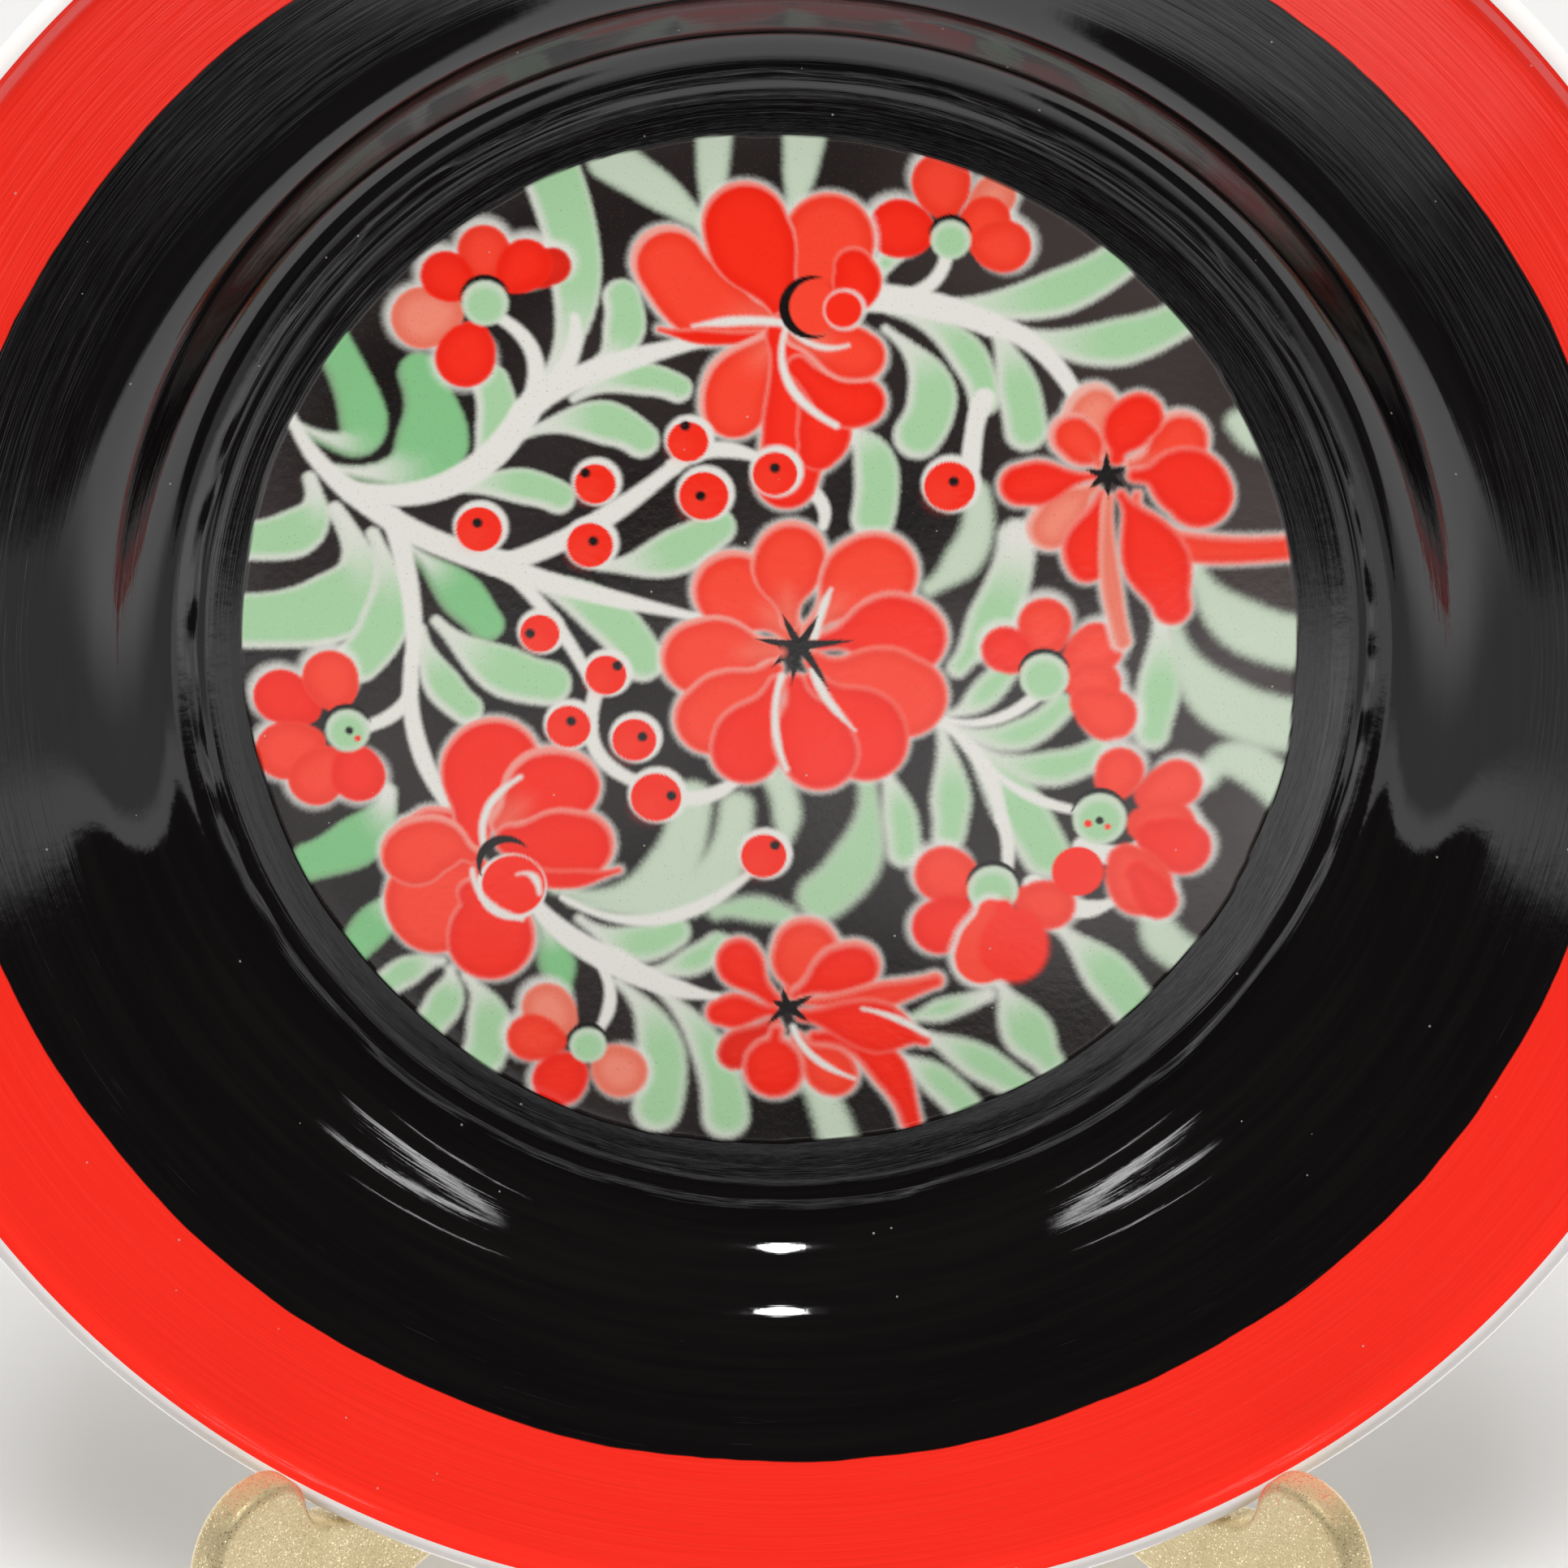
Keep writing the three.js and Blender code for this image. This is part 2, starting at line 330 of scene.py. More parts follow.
CRISP_LEAVES = [
    ((-58.5, 28.5), (-50.6, 27.5), (-54, 39), (0.6, 2.9, 2.2), DEEP),
    ((-54, 23), (-43.2, 24.5), (-43.5, 35), (0.7, 4.4, 2.6), DEEP),
    ((-39, 22), (-34.5, 26.5), (-35, 34), (0.7, 2.7, 2.2), GREEN),
    ((-28.5, 34), (-24.6, 45), (-27.5, 60), (0.9, 3.1, 3.4), GREEN),
    ((-22.5, 36), (-19.2, 39.5), (-19.2, 44.5), (0.8, 2.5, 2.2), GREEN),
    ((-25, 32), (-18.5, 34.4), (-12.5, 33.2), (0.5, 2, 1.7), GREEN),
    ((-31, 27.5), (-23, 29.2), (-17, 26.8), (0.5, 2.7, 2.2), GREEN),
    ((-41, 20.5), (-33, 21.2), (-27, 19.6), (0.5, 2.2, 2), GREEN),
    ((-57, 22), (-57.6, 16), (-65, 14.2), (0.8, 3, 2.4), GREEN),
    ((-54, 18), (-52.2, 7.5), (-65, 4), (1, 4.4, 3.4), GREEN),
    ((-49.5, 15), (-47.8, 6), (-51.5, -1), (0.8, 3, 2.8), GREEN),
    ((-45.2, 13.2), (-40, 8.4), (-36, 3.6), (0.6, 2.8, 2.2), DEEP),
    ((-43.8, 3), (-42, -3), (-38.5, -7.2), (0.5, 2.3, 2), GREEN),
    ((-42, 4), (-35.4, -1.6), (-28.5, -4), (0.6, 3.2, 2.8), GREEN),
    ((-33, 9.6), (-23.5, 6.2), (-17, -1), (0.6, 2.9, 2.7), GREEN),
    ((-22, 11), (-14.6, 12), (-8, 15.8), (0.6, 2.9, 2.4), GREEN),
    ((10.4, 46), (11.6, 48), (13.6, 50), (0.6, 1.2, 1.2), GREEN),
    ((16, 43.8), (30, 44.2), (41, 49.6), (0.5, 2.8, 2.4), GREEN),
    ((26, 41), (37.5, 38.6), (48, 42), (0.5, 2.9, 2.3), GREEN),
    ((13, 43), (21, 38.8), (24.4, 31.8), (0.5, 2.2, 1.8), GREEN),
    ((12.4, 40.6), (17.8, 34), (16.4, 27.4), (0.4, 2.9, 2.9), GREEN),
    ((25.4, 41), (28, 34.5), (29.4, 28), (0.6, 2.5, 2.5), GREEN),
    ((7, 27.8), (11, 24.6), (11, 17), (0.6, 2.6, 2.6), GREEN),
    ((28.4, 14.5), (26.6, 6.5), (21.4, -2), (2.2, 2.9, 1.2), GREEN),
    ((46, 5), (46, -3), (45.2, -10.4), (0.8, 2.6, 2), GREEN),
    ((20.5, -8), (24, -6), (28, -1.2), (0.3, 1.8, 1.5), GREEN),
    ((20, -9), (27.5, -11), (34, -7), (0.4, 1.9, 1.6), GREEN),
    ((23, -12), (31, -15), (38.5, -13), (0.4, 2.2, 1.8), GREEN),
    ((22, -11), (27.6, -18), (32.4, -26), (0.6, 3.1, 2.9), GREEN),
    ((19.4, -9.6), (20.6, -17), (20.5, -23.4), (0.5, 2.4, 1.9), GREEN),
    ((12.4, -15), (14.2, -20), (15, -25.6), (0.5, 2, 2), GREEN),
    ((34, -35.5), (39.2, -40.6), (43.5, -46), (0.6, 2.9, 2.8), GREEN),
    ((27, -43), (29.6, -48), (33, -53.2), (0.6, 3.1, 1.8), GREEN),
    ((25.5, -44.4), (21, -46), (15.6, -47.6), (0.8, 1.4, 0.3), GREEN),
    ((17, -49.5), (23, -52.4), (30, -57), (0.4, 2.3, 1.8), GREEN),
    ((14.4, -52.6), (18.4, -55), (22.5, -59), (0.4, 2, 2), GREEN),
    ((-48.4, -18), (-51, -23.4), (-58, -27), (1.2, 3.2, 2.4), DEEP),
    ((-47.5, -32), (-50, -34.8), (-53, -38.4), (1.4, 2.4, 2), DEEP),
    ((-42, -40), (-45.6, -40.9), (-49.4, -43.4), (0.5, 1.9, 1.7), GREEN),
    ((-41, -41), (-41.4, -44.6), (-43.8, -48.4), (0.5, 2.3, 2), GREEN),
    ((-39, -42), (-36.4, -47), (-37, -52.4), (0.5, 2.7, 2.6), GREEN),
    ((-30, -34.5), (-28.2, -39), (-27, -43.6), (0.4, 2.2, 0.9), DEEP),
    ((-25, -34.4), (-18.8, -37.6), (-13.4, -36.2), (0.4, 2.4, 2), GREEN),
    ((-17, -41.4), (-12, -40.4), (-8, -38), (0.3, 1.8, 1.7), GREEN),
    ((-20.4, -42.6), (-15.4, -50), (-15.6, -59.5), (0.4, 2.9, 2.9), GREEN),
    ((-16, -43), (-9.4, -51), (-7, -60.5), (0.4, 2.3, 2.8), GREEN),
]


def leaves(canvas):
    for *points, radii, colour in SOFT_LEAVES:
        dab(canvas, points, radii, colour, rim=0.5, soft=0.8, halo=0.9, edge=PALE, strength=0.85)
    for *points, radii, colour in CRISP_LEAVES:
        deep = colour is DEEP
        dab(canvas, points, radii, colour, rim=0.2 if deep else 0.5, soft=0.85, halo=0.65,
            edge=GREEN * 0.6 if deep else PALE * 0.35 + WHITE * 0.6, light=(0.3, 0.3), fade=WHITE * 0.97)


# Stems: start, bend, end, then the half widths.
STEMS = [
    ((-60, 33), (-56.5, 25), (-50, 19), (0.5, 1.1, 1.5)),
    ((-50, 19), (-43, 14.5), (-33, 11), (1.5, 1.5, 1.7)),
    ((-34, 11), (-25, 8), (-8, 4), (1.5, 1.1, 0.5)),
    ((-35, 11), (-24, 15.5), (-13, 23.5), (1.2, 1.3, 0.9)),
    ((-13, 23.5), (-8, 25.6), (-2, 24.2), (1, 1, 0.6)),
    ((-52, 20.4), (-40, 21.4), (-31, 30), (1.3, 1.7, 1.7)),
    ((-31, 30), (-23.5, 35), (-6, 40), (1.7, 1.4, 0.7)),
    ((-30.5, 30.5), (-29.8, 37.5), (-34.5, 42.4), (1.2, 0.9, 0.7)),
    ((-29, 32), (-25.4, 37), (-24.8, 42), (1.2, 1, 0.6)),
    ((-34.5, 11.5), (-28, 4.4), (-22.6, -5), (0.9, 0.8, 0.7)),
    ((-22.6, -5), (-22.6, -12.6), (-16.5, -17), (0.9, 0.9, 0.8)),
    ((-14, -18.4), (-9, -18.4), (-4.5, -15.5), (1, 0.9, 0.5)),
    ((-47, 17), (-45, 7), (-45, -1), (1.3, 1.1, 0.9)),
    ((-45, -1), (-44.6, -11), (-40.4, -20.4), (0.9, 1.1, 0.8)),
    ((-45, -3), (-46.4, -7), (-51, -9.6), (0.7, 0.9, 0.8)),
    ((7, 44.5), (16, 43.9), (25, 41.2), (1.8, 1.7, 1.5)),
    ((25, 41.2), (31.5, 37.6), (36.6, 30), (1.3, 1.1, 0.9)),
    ((15, 44.6), (18.6, 47), (19.8, 51), (0.9, 0.8, 0.8)),
    ((24.4, 32), (23.4, 29), (22.8, 23.5), (1.3, 1.1, 1.2)),
    ((-31.5, -31), (-26.6, -36.4), (-20.6, -40), (0.9, 1.5, 1.7)),
    ((-20.6, -40), (-14.6, -43), (-8, -44.6), (1.7, 1.2, 0.5)),
    ((-22.6, -40), (-21.2, -45), (-23.4, -50), (0.6, 0.8, 0.5)),
    ((19.4, -9), (24.4, -14), (27, -21.4), (0.5, 1, 0.8)),
    ((27, -21.4), (27.8, -25), (27.6, -29), (0.8, 0.8, 0.6)),
    ((24, -13), (29.6, -18), (37, -20.4), (0.3, 0.7, 0.6)),
    ((20, -8.6), (26, -8.6), (31.6, -5), (0.4, 0.7, 0.8)),
    ((-27, -31.6), (-15, -34.4), (-3, -27.6), (0.4, 0.9, 0.5)),
    ((2, 21.5), (4.8, 19), (5, 16), (0.9, 0.8, 0.6)),
    ((37, -25), (44, -25.4), (46, -18), (1.3, 1.3, 1)),
    ((31, -30), (36, -33), (41, -32), (1.4, 1.2, 0.6)),
]


def stems(canvas):
    for *points, radii in STEMS:
        stem(canvas, points, radii)


# Small blossoms: lobes as (x, y, radius, colour), then the green middle.
CLUSTERS = [
    ([(-43, 42, 3.9, PINK), (-35.6, 50.3, 3.2, SALMON), (-27.4, 48.4, 2.3, RED * 0.8),
      (-40.2, 47.2, 3.1, RED), (-30.6, 48.6, 3.2, RED), (-38, 37, 3.7, RED)], (-35.5, 43.8, 2.8)),
    ([(19, 58.8, 3.6, SALMON), (25.4, 57, 2.6, PINK), (24.4, 54, 3, SALMON),
      (26.6, 50.8, 3.3, SALMON), (14, 53, 3.7, RED)], (20.2, 51.6, 2.4)),
    ([(-61, -5.6, 3.5, RED), (-55, -3.2, 3.5, SALMON), (-60.6, -12.6, 3.8, SALMON),
      (-57, -16.2, 3.5, SALMON), (-51.8, -15.8, 3.4, RED)], (-53, -10, 2.7)),
    ([(32, 3.6, 3.3, SALMON), (27.2, 0.4, 2.9, RED), (38.4, 0.6, 3.2, SALMON),
      (38.4, -4, 3, SALMON), (40, -8, 3.4, SALMON)], (32, -3.2, 3)),
    ([(48.4, -16.8, 3.1, SALMON), (41.4, -15.2, 3, SALMON), (47.4, -22.4, 3.5, SALMON),
      (49.2, -25, 3.6, RED), (44.2, -30, 4, SALMON), (46.4, -32, 2.4, RED)], (39, -21.4, 3.3)),
    ([(20, -28.6, 3.7, SALMON), (33, -32.6, 3.2, SALMON), (19.6, -35.4, 3.6, RED)], (26, -30.6, 3.1)),
    ([(-29, -46, 3.2, PINK), (-31, -50, 3.1, SALMON), (-20, -54.5, 3.4, PINK),
      (-27.6, -55.6, 3.4, RED)], (-24, -51, 2.3)),
]


def clusters(canvas):
    for lobes, (cx, cy, cr) in CLUSTERS:
        for x, y, r, colour in lobes:
            out = np.array([x - cx, y - cy]) / math.hypot(x - cx, y - cy)
            disc(canvas, x + out[0] * 0.4, y + out[1] * 0.4 + 0.3, r + 0.35, WHITE, 0.8, 0.85)
        for x, y, r, colour in lobes:
            pull = np.array([cx - x, cy - y]) * 0.34
            dab(canvas, [(x + pull[0], y + pull[1]), (x, y)], (r * 0.6, r * 0.9, r * 0.97), colour, rim=0.1,
                soft=0.5, halo=0.4, edge=colour, deep=0.6, strength=0.94)
        crescent(canvas, cx, cy, cr + 0.25, 20, 170, 0.5)
        disc(canvas, cx, cy, cr, PALE, 0.3)
        disc(canvas, cx, cy - 0.2, cr * 0.75, GREEN, 0.5)
    dab(canvas, [(25.8, -33.5), (25.2, -37), (24.8, -39.4)], (2.2, 3.8, 4.0), SALMON, rim=0.5, soft=0.3)
    dab(canvas, [(27.4, -33), (28.6, -36.5), (28.6, -38.4)], (1, 3.9, 4.1), RED, rim=0.1, soft=0.2,
        edge=RED)
    disc(canvas, 36.4, -28.2, 3.2, RED, 0.16)
    for x, y, r, colour in [(-52.8, -10, 0.5, BLACK), (-51.8, -11, 0.4, RED), (37.6, -22, 0.5, RED),
                            (39, -21.6, 0.5, BLACK), (40, -22.4, 0.4, SALMON)]:
        disc(canvas, x, y, r, colour, 0.15)


def petals(canvas, rows):
    """A soft white cloud under the whole flower, then its petals with faint pink edges. A row is base,
    bend, tip, half widths, colour, how pale the edge is, and how far the colour is off centre."""
    for *points, (start, belly, tip), _, _, _ in rows:
        stem(canvas, points, (start, belly + 0.3, tip + 0.3), WHITE, 0.75)
    for *points, radii, colour, rim, light in rows:
        base = colour * 0.5 + PINK * 0.5
        pale = 0.45 * rim
        dab(canvas, points, radii, colour, rim=0.1 + rim * 0.4, soft=0.5, halo=0.4,
            edge=WHITE * pale + PINK * 0.4 + colour * (0.6 - pale), light=(light[0], light[1] - 0.2),
            fade=base if rim > 0.5 else colour, deep=0.5)


def top_flower(canvas):
    petals(canvas, [
        ((0, 46), (4.6, 50), (5.6, 52), (3, 5.6, 5.4), SALMON, 0.3, (0, 0)),
        ((8, 44), (9, 46), (8.6, 48.4), (2, 3, 2.4), RED, 0.2, (0, 0)),
        ((0, 42.4), (-8, 43.4), (-13.6, 49), (1.6, 4.9, 4.4), SALMON, 0.7, (0.3, -0.2)),
        ((0.5, 44), (-3, 50), (-4.4, 53.6), (2.4, 5.4, 5.2), RED, 0.45, (0.1, -0.1)),
        ((-1, 40), (-8, 39.6), (-14.6, 40.6), (0.7, 1, 0.3), RED, 0.2, (0, 0)),
        ((0, 40), (-4.6, 35), (-5.8, 31), (1.6, 4.1, 4), SALMON, 0.7, (0.2, -0.1)),
        ((1, 40), (2.2, 32), (0.6, 22), (3, 4.4, 3.8), RED, 0.35, (0, 0)),
        ((3, 35), (5, 29), (4.4, 25.6), (2, 3.4, 2.6), RED, 0.3, (0, 0)),
        ((2, 36), (6.6, 32), (9.6, 31.6), (1.5, 3.2, 3), RED, 0.35, (0, 0.1)),
        ((2, 40), (7, 38), (9.4, 37.2), (1.8, 3.6, 3.2), SALMON, 0.6, (0.1, 0.3)),
    ])
    stem(canvas, [(0.6, 41), (0.8, 34), (6.6, 28.6)], (0.3, 0.55, 0.4))
    stem(canvas, [(0.2, 41.4), (4, 38.6), (8, 38.6)], (0.3, 0.35, 0.2))
    stem(canvas, [(0, 41.4), (-5, 41.6), (-10.6, 41)], (0.5, 0.6, 0.2))
    disc(canvas, 3.7, 43.2, 3.2, SALMON, 0.3)
    disc(canvas, 7.6, 43, 2.6, WHITE, 0.3, 0.7)
    disc(canvas, 7.4, 43, 2.2, RED, 0.2)
    crescent(canvas, 4.0, 43.3, 3.7, 75, 290, 0.62)


def right_flower(canvas):
    petals(canvas, [
        ((39, 25), (37, 29), (37.6, 31), (0.8, 3, 2.9), PINK, 0.8, (0.4, -0.2)),
        ((38, 24), (36.4, 26), (35, 27.4), (0.8, 2.8, 2.8), SALMON, 0.7, (0.3, 0)),
        ((42, 24), (46.6, 25.6), (48, 27), (0.8, 3.6, 3.5), SALMON, 0.8, (0.2, -0.1)),
        ((40.4, 24.6), (41.4, 28), (43, 29.8), (0.9, 3.1, 3), RED, 0.2, (0, 0)),
        ((43, 20), (47, 14), (62, 13.4), (0.5, 1.9, 1.6), SALMON, 0.5, (-0.2, 0)),
        ((42.6, 22.4), (48, 22), (50.4, 20), (0.9, 4.4, 4.2), RED, 0.3, (0.1, 0.1)),
        ((37.6, 21), (34.6, 18.6), (32.4, 15.8), (0.7, 2.9, 2.8), PINK, 0.7, (0.3, 0.1)),
        ((37.8, 22.4), (32, 21.6), (28.8, 21.2), (0.5, 2.9, 2.6), RED, 0.35, (0.1, 0.1)),
        ((38.6, 20), (36.8, 14.6), (37, 11.4), (0.6, 2.8, 2.5), RED, 0.35, (0.2, 0)),
        ((39.4, 19.6), (39.6, 11), (41.4, 1.5), (0.6, 1.2, 1), PINK, 0.4, (0.2, 0)),
        ((41, 20), (44.6, 13.6), (47.4, 6), (0.6, 4.2, 2.4), RED, 0.25, (0, 0)),
    ])
    star(canvas, 39.2, 22.4, [(0, 3), (2.5, 1.1), (2.2, -1.6), (0.3, -2.9), (-2, -1.7), (-2.4, 0.7)])


def middle_flower(canvas):
    petals(canvas, [
        ((1, 3), (-4, 7), (-6, 8), (1.6, 4.9, 4.9), SALMON, 0.6, (0.2, -0.2)),
        ((1, 4), (0.6, 10), (1.2, 12.4), (1.2, 4.4, 4.3), SALMON, 0.55, (0, -0.2)),
        ((3.4, 3), (9, 8.6), (11.4, 10.2), (1, 5.3, 5.2), SALMON, 0.6, (0, -0.1)),
        ((-1, 0.5), (-7, 0), (-10, -0.6), (1.4, 4.9, 4.8), SALMON, 0.55, (0.2, -0.1)),
        ((-1, -2), (-6, -6), (-8.6, -8.4), (1.2, 4.6, 4.6), SALMON, 0.45, (0.1, 0)),
        ((4.6, 1.4), (12, 2.8), (15.4, 2), (1.2, 5, 4.8), RED, 0.5, (0, -0.1)),
        ((4, -1), (11, -4.6), (15, -5.6), (1.2, 6, 5.2), SALMON, 0.2, (0, 0)),
        ((-0.6, -4), (-3.4, -10), (-4.4, -12.4), (1.2, 4.6, 4.4), RED, 0.4, (0, 0)),
        ((4, -4), (9, -9), (10.4, -11.4), (1.6, 5.4, 5), RED, 0.15, (0, 0)),
        ((1.6, -4), (3.4, -10), (4.6, -12.8), (1.4, 5, 4.9), RED, 0.4, (0.1, 0.1)),
    ])
    stem(canvas, [(0, -3), (-0.8, -9), (0.6, -15)], (0.4, 0.45, 0.3))
    stem(canvas, [(4, -2.4), (5.6, -6), (9, -10)], (0.6, 0.5, 0.1))
    stem(canvas, [(4, 2), (5, 5.6), (6, 8)], (0.5, 0.5, 0.2))
    star(canvas, 2.2, 0.9, [
        (-2.1, 4), (2.2, 3.8), (6.6, 0.6), (3.6, -5.8), (-1, -5), (-3.4, -2.8), (-5.4, 0.8)])


def lower_left_flower(canvas):
    petals(canvas, [
        ((-38, -21.6), (-42, -21.2), (-46.4, -21.8), (0.9, 1.5, 0.4), RED, 0.45, (0, -0.2)),
        ((-38, -23), (-36.6, -16), (-35, -13.8), (2.4, 5.6, 5.5), RED, 0.5, (0, -0.15)),
        ((-38, -28.6), (-42.6, -31), (-42.8, -33.4), (2.4, 5.7, 5.4), SALMON, 0.15, (0, 0)),
        ((-38, -26), (-42, -24.6), (-45, -25.8), (1.2, 3.9, 4.3), SALMON, 0.5, (0, -0.3)),
        ((-38, -31), (-36, -35.6), (-36, -37), (2, 5.4, 5.3), RED, 0.4, (-0.1, 0)),
        ((-34.4, -21.6), (-30, -17.6), (-26.8, -17), (1.6, 4.9, 4.6), RED, 0.6, (0.25, -0.35)),
        ((-33, -24), (-28, -24.4), (-24.8, -24.6), (2.2, 4.5, 4.3), RED, 0.45, (-0.2, -0.1)),
        ((-32, -28), (-27, -29.2), (-20, -28), (1.2, 1.2, 0.3), RED, 0.1, (0, 0)),
    ])
    stem(canvas, [(-36.5, -25), (-36, -20), (-32, -16)], (0.4, 0.5, 0.3))
    disc(canvas, -33.2, -30.2, 4.3, WHITE, 0.25)
    disc(canvas, -33, -30, 3.9, RED, 0.18)
    stem(canvas, [(-32.6, -28.6), (-30.6, -28.8), (-29.8, -31)], (0.1, 0.5, 0.3))
    stem(canvas, [(-38, -28), (-36.4, -32), (-32, -34.4)], (0.3, 0.4, 0.3))
    crescent(canvas, -33.8, -27.4, 3.4, 40, 205, 0.6)


def bottom_flower(canvas):
    petals(canvas, [
        ((-1, -45), (-4.6, -41), (-5.2, -39.4), (1, 3, 2.6), RED, 0.3, (0, 0)),
        ((-1, -46.4), (-5, -46.4), (-7.6, -46.6), (0.7, 2.3, 1.7), RED, 0.15, (0, 0)),
        ((-1, -48), (-4.6, -50.6), (-5.8, -52), (0.8, 2.3, 2.2), RED * 0.85, 0.2, (0, 0)),
        ((1.4, -43.6), (2.6, -40), (3, -38.2), (1.2, 4.2, 4.1), SALMON, 0.5, (0, -0.2)),
        ((2, -44), (6.4, -41.4), (9, -40.4), (1, 3.4, 3.2), RED, 0.45, (0, -0.3)),
        ((2.4, -45), (10, -44.8), (19, -42.4), (0.5, 1.8, 1), SALMON, 0.35, (0, -0.1)),
        ((-0.6, -49), (-1, -53), (-0.8, -54.2), (0.9, 3.8, 3.7), RED, 0.5, (-0.1, 0)),
        ((2, -50), (5.4, -53.6), (6.6, -54.8), (0.8, 3.2, 2.9), SALMON, 0.35, (0, 0)),
        ((4, -50), (11.6, -52.4), (16, -61), (0.9, 2.4, 1.3), RED, 0.35, (0.2, 0.2)),
        ((2.6, -47), (9.6, -48), (17.8, -50.4), (0.8, 3.6, 0.6), RED, 0.2, (0, 0)),
    ])
    stem(canvas, [(1.4, -48.6), (4, -52.6), (9, -55.4)], (0.4, 0.45, 0.2))
    stem(canvas, [(10, -46.2), (14, -47.4), (18, -49.6)], (0.2, 0.45, 0.3))
    star(canvas, 0.7, -46, [(-0.6, 2.6), (3.2, 1.6), (2.6, -1.9), (-2.4, -2.2), (-1.8, 0.9)])


# Berries: place, radius, and where the dot is on them.
BERRIES = [
    (-11.3, 26.6, 2.5, (-0.3, 2)), (-22.5, 21.3, 2.5, (-1.2, 1.4)), (-9.4, 19.8, 3, (-0.4, 0)),
    (-23.2, 13.6, 2.8, (0.4, 0.5)), (-36.6, 15.6, 2.8, (-0.2, 0.8)), (-0.8, 22.6, 2.7, (0, 0.7)),
    (20.3, 21, 3.1, (0.5, 0.6)), (-29.4, 2.4, 2.4, (-1.2, 0)), (-21.4, -2.9, 2.5, (1.4, 1.2)),
    (-26, -9.5, 2.7, (0.3, 0.7)), (-18, -11.2, 2.7, (1, 0.4)), (-15.4, -18.6, 3.1, (1.9, 0.2)),
    (-2.2, -26.2, 2.8, (1.4, 1.4)),
]


def paint(canvas):
    leaves(canvas)
    stems(canvas)
    clusters(canvas)
    for flower in (top_flower, right_flower, middle_flower, lower_left_flower, bottom_flower):
        flower(canvas)
    for place_and_dot in BERRIES:
        berry(canvas, *place_and_dot)


def ring_edge(turn):
    """Where the black ring's hand-painted inner edge lies."""
    return MEDALLION + wobble(turn, 5, 2, 24, 0.55)


def disc_rings(step):
    """Radii of the disc's rings with how many points each has."""
    rings = []
    for inner, outer, share in ((1.0, 8.5, 8), (8.5, 16.75, 4), (16.75, 33.5, 2), (33.5, DISC_EDGE, 1)):
        count = int(round((outer - inner) / step))
        rings += [(inner + (outer - inner) * i / count, share) for i in range(count)]
    return rings + [(DISC_EDGE, 1)]


def floor_height(r):
    return FLOOR_DEPTH - 0.05 * smooth(r, 63, DISC_EDGE)


def medallion():
    """The disc of the floor that carries the flowers: a fine net of points, each with its paint."""
    full = SEGMENTS * 2
    rings = disc_rings(0.25)
    xs, ys, starts, counts = [0.0], [0.0], [], []
    total = 1
    for r, share in rings:
        n = full // share
        turn = np.arange(n) * 2 * math.pi / n
        xs += list(r * np.cos(turn))
        ys += list(r * np.sin(turn))
        starts.append(total)
        counts.append(n)
        total += n
    k = np.arange(counts[0])
    faces = [np.stack([0 * k, starts[0] + k, starts[0] + (k + 1) % counts[0]], 1)]
    for a, b, n, m in zip(starts, starts[1:], counts, counts[1:]):
        k = np.arange(n)
        j = (k + 1) % n
        if n == m:
            faces.append(np.stack([a + k, b + k, b + j, a + j], 1))
        else:
            # The outer ring has twice the points: a triangle and a quad for each step.
            faces.append(np.stack([a + k, b + 2 * k, b + 2 * k + 1], 1))
            faces.append(np.stack([a + k, b + 2 * k + 1, b + (2 * k + 2) % m, a + j], 1))
    x, y = np.array(xs), np.array(ys)
    canvas = Canvas(x, y)
    paint(canvas)
    r, turn = np.hypot(x + 1.4, y - 0.3), np.arctan2(y, x)
    ring = smooth(r - ring_edge(turn), -0.1, 0.1)
    # Thin paint at the ring's edge lets a little of the flowers through.
    colour = canvas.colour * (1 - ring[:, None]) + BLACK * 0.55 * ring[:, None]
    depth = floor_height(np.hypot(x, y)) - 0.05 * ring
    points = place(x, y, depth)
    polar = np.stack([np.cos(turn), np.sin(turn), np.hypot(x, y)], 1)
    rgba = np.concatenate([colour, np.ones((len(x), 1))], 1)
    return make_mesh("bowl_medallion", points, faces, [
        ("paint", "FLOAT_COLOR", rgba), ("polar", "FLOAT_VECTOR", polar), ("ring", "FLOAT", ring)])


# -------- bowl


def front_outline():
    """From the disc's edge over the wall and rim to where the paint stops."""
    wall = round_corners([
        [DISC_EDGE, FLOOR_DEPTH - 0.1], [70.2, FLOOR_DEPTH - 0.12], [71.0, FLOOR_DEPTH - 0.5],
        [72.4, FLOOR_DEPTH - 0.5], [75.4, 18.3], [77.4, 17.0], [79.4, 15.1], [82, 12.5], [84, 10.8],
        [86.4, 9.5], [89.6, 8.3], [RED_INNER, 5.3], [114.6, 1.72], [116.2, 1.1], [117.1, 0.35],
        [RED_OUTER, 0.045]], 3)
    return fill_in(wall, 0.5)


def lip_and_back():
    """The white porcelain: over the lip, down the back, the foot ring and the underside."""
    turns = np.linspace(math.acos((RED_OUTER - RIM + LIP) / LIP), -math.pi / 2, 24)
    lip = [[RIM - LIP + LIP * math.cos(t), LIP - LIP * math.sin(t)] for t in turns]
    back = [
        [101.5, 9.2], [91, 12.2], [87.6, 14.2], [81, 20.4], [76.5, 23.0], [64.4, 24.2], [62, 25.5],
        [61.7, 27.8], [60.8, FOOT_DEPTH], [58.3, FOOT_DEPTH], [57.3, 27.8], [56.4, 24.2], [54.6, 23.6],
        [0.5, 23.6]]
    return fill_in(np.vstack([lip, round_corners(back, 2)]), 2.0)


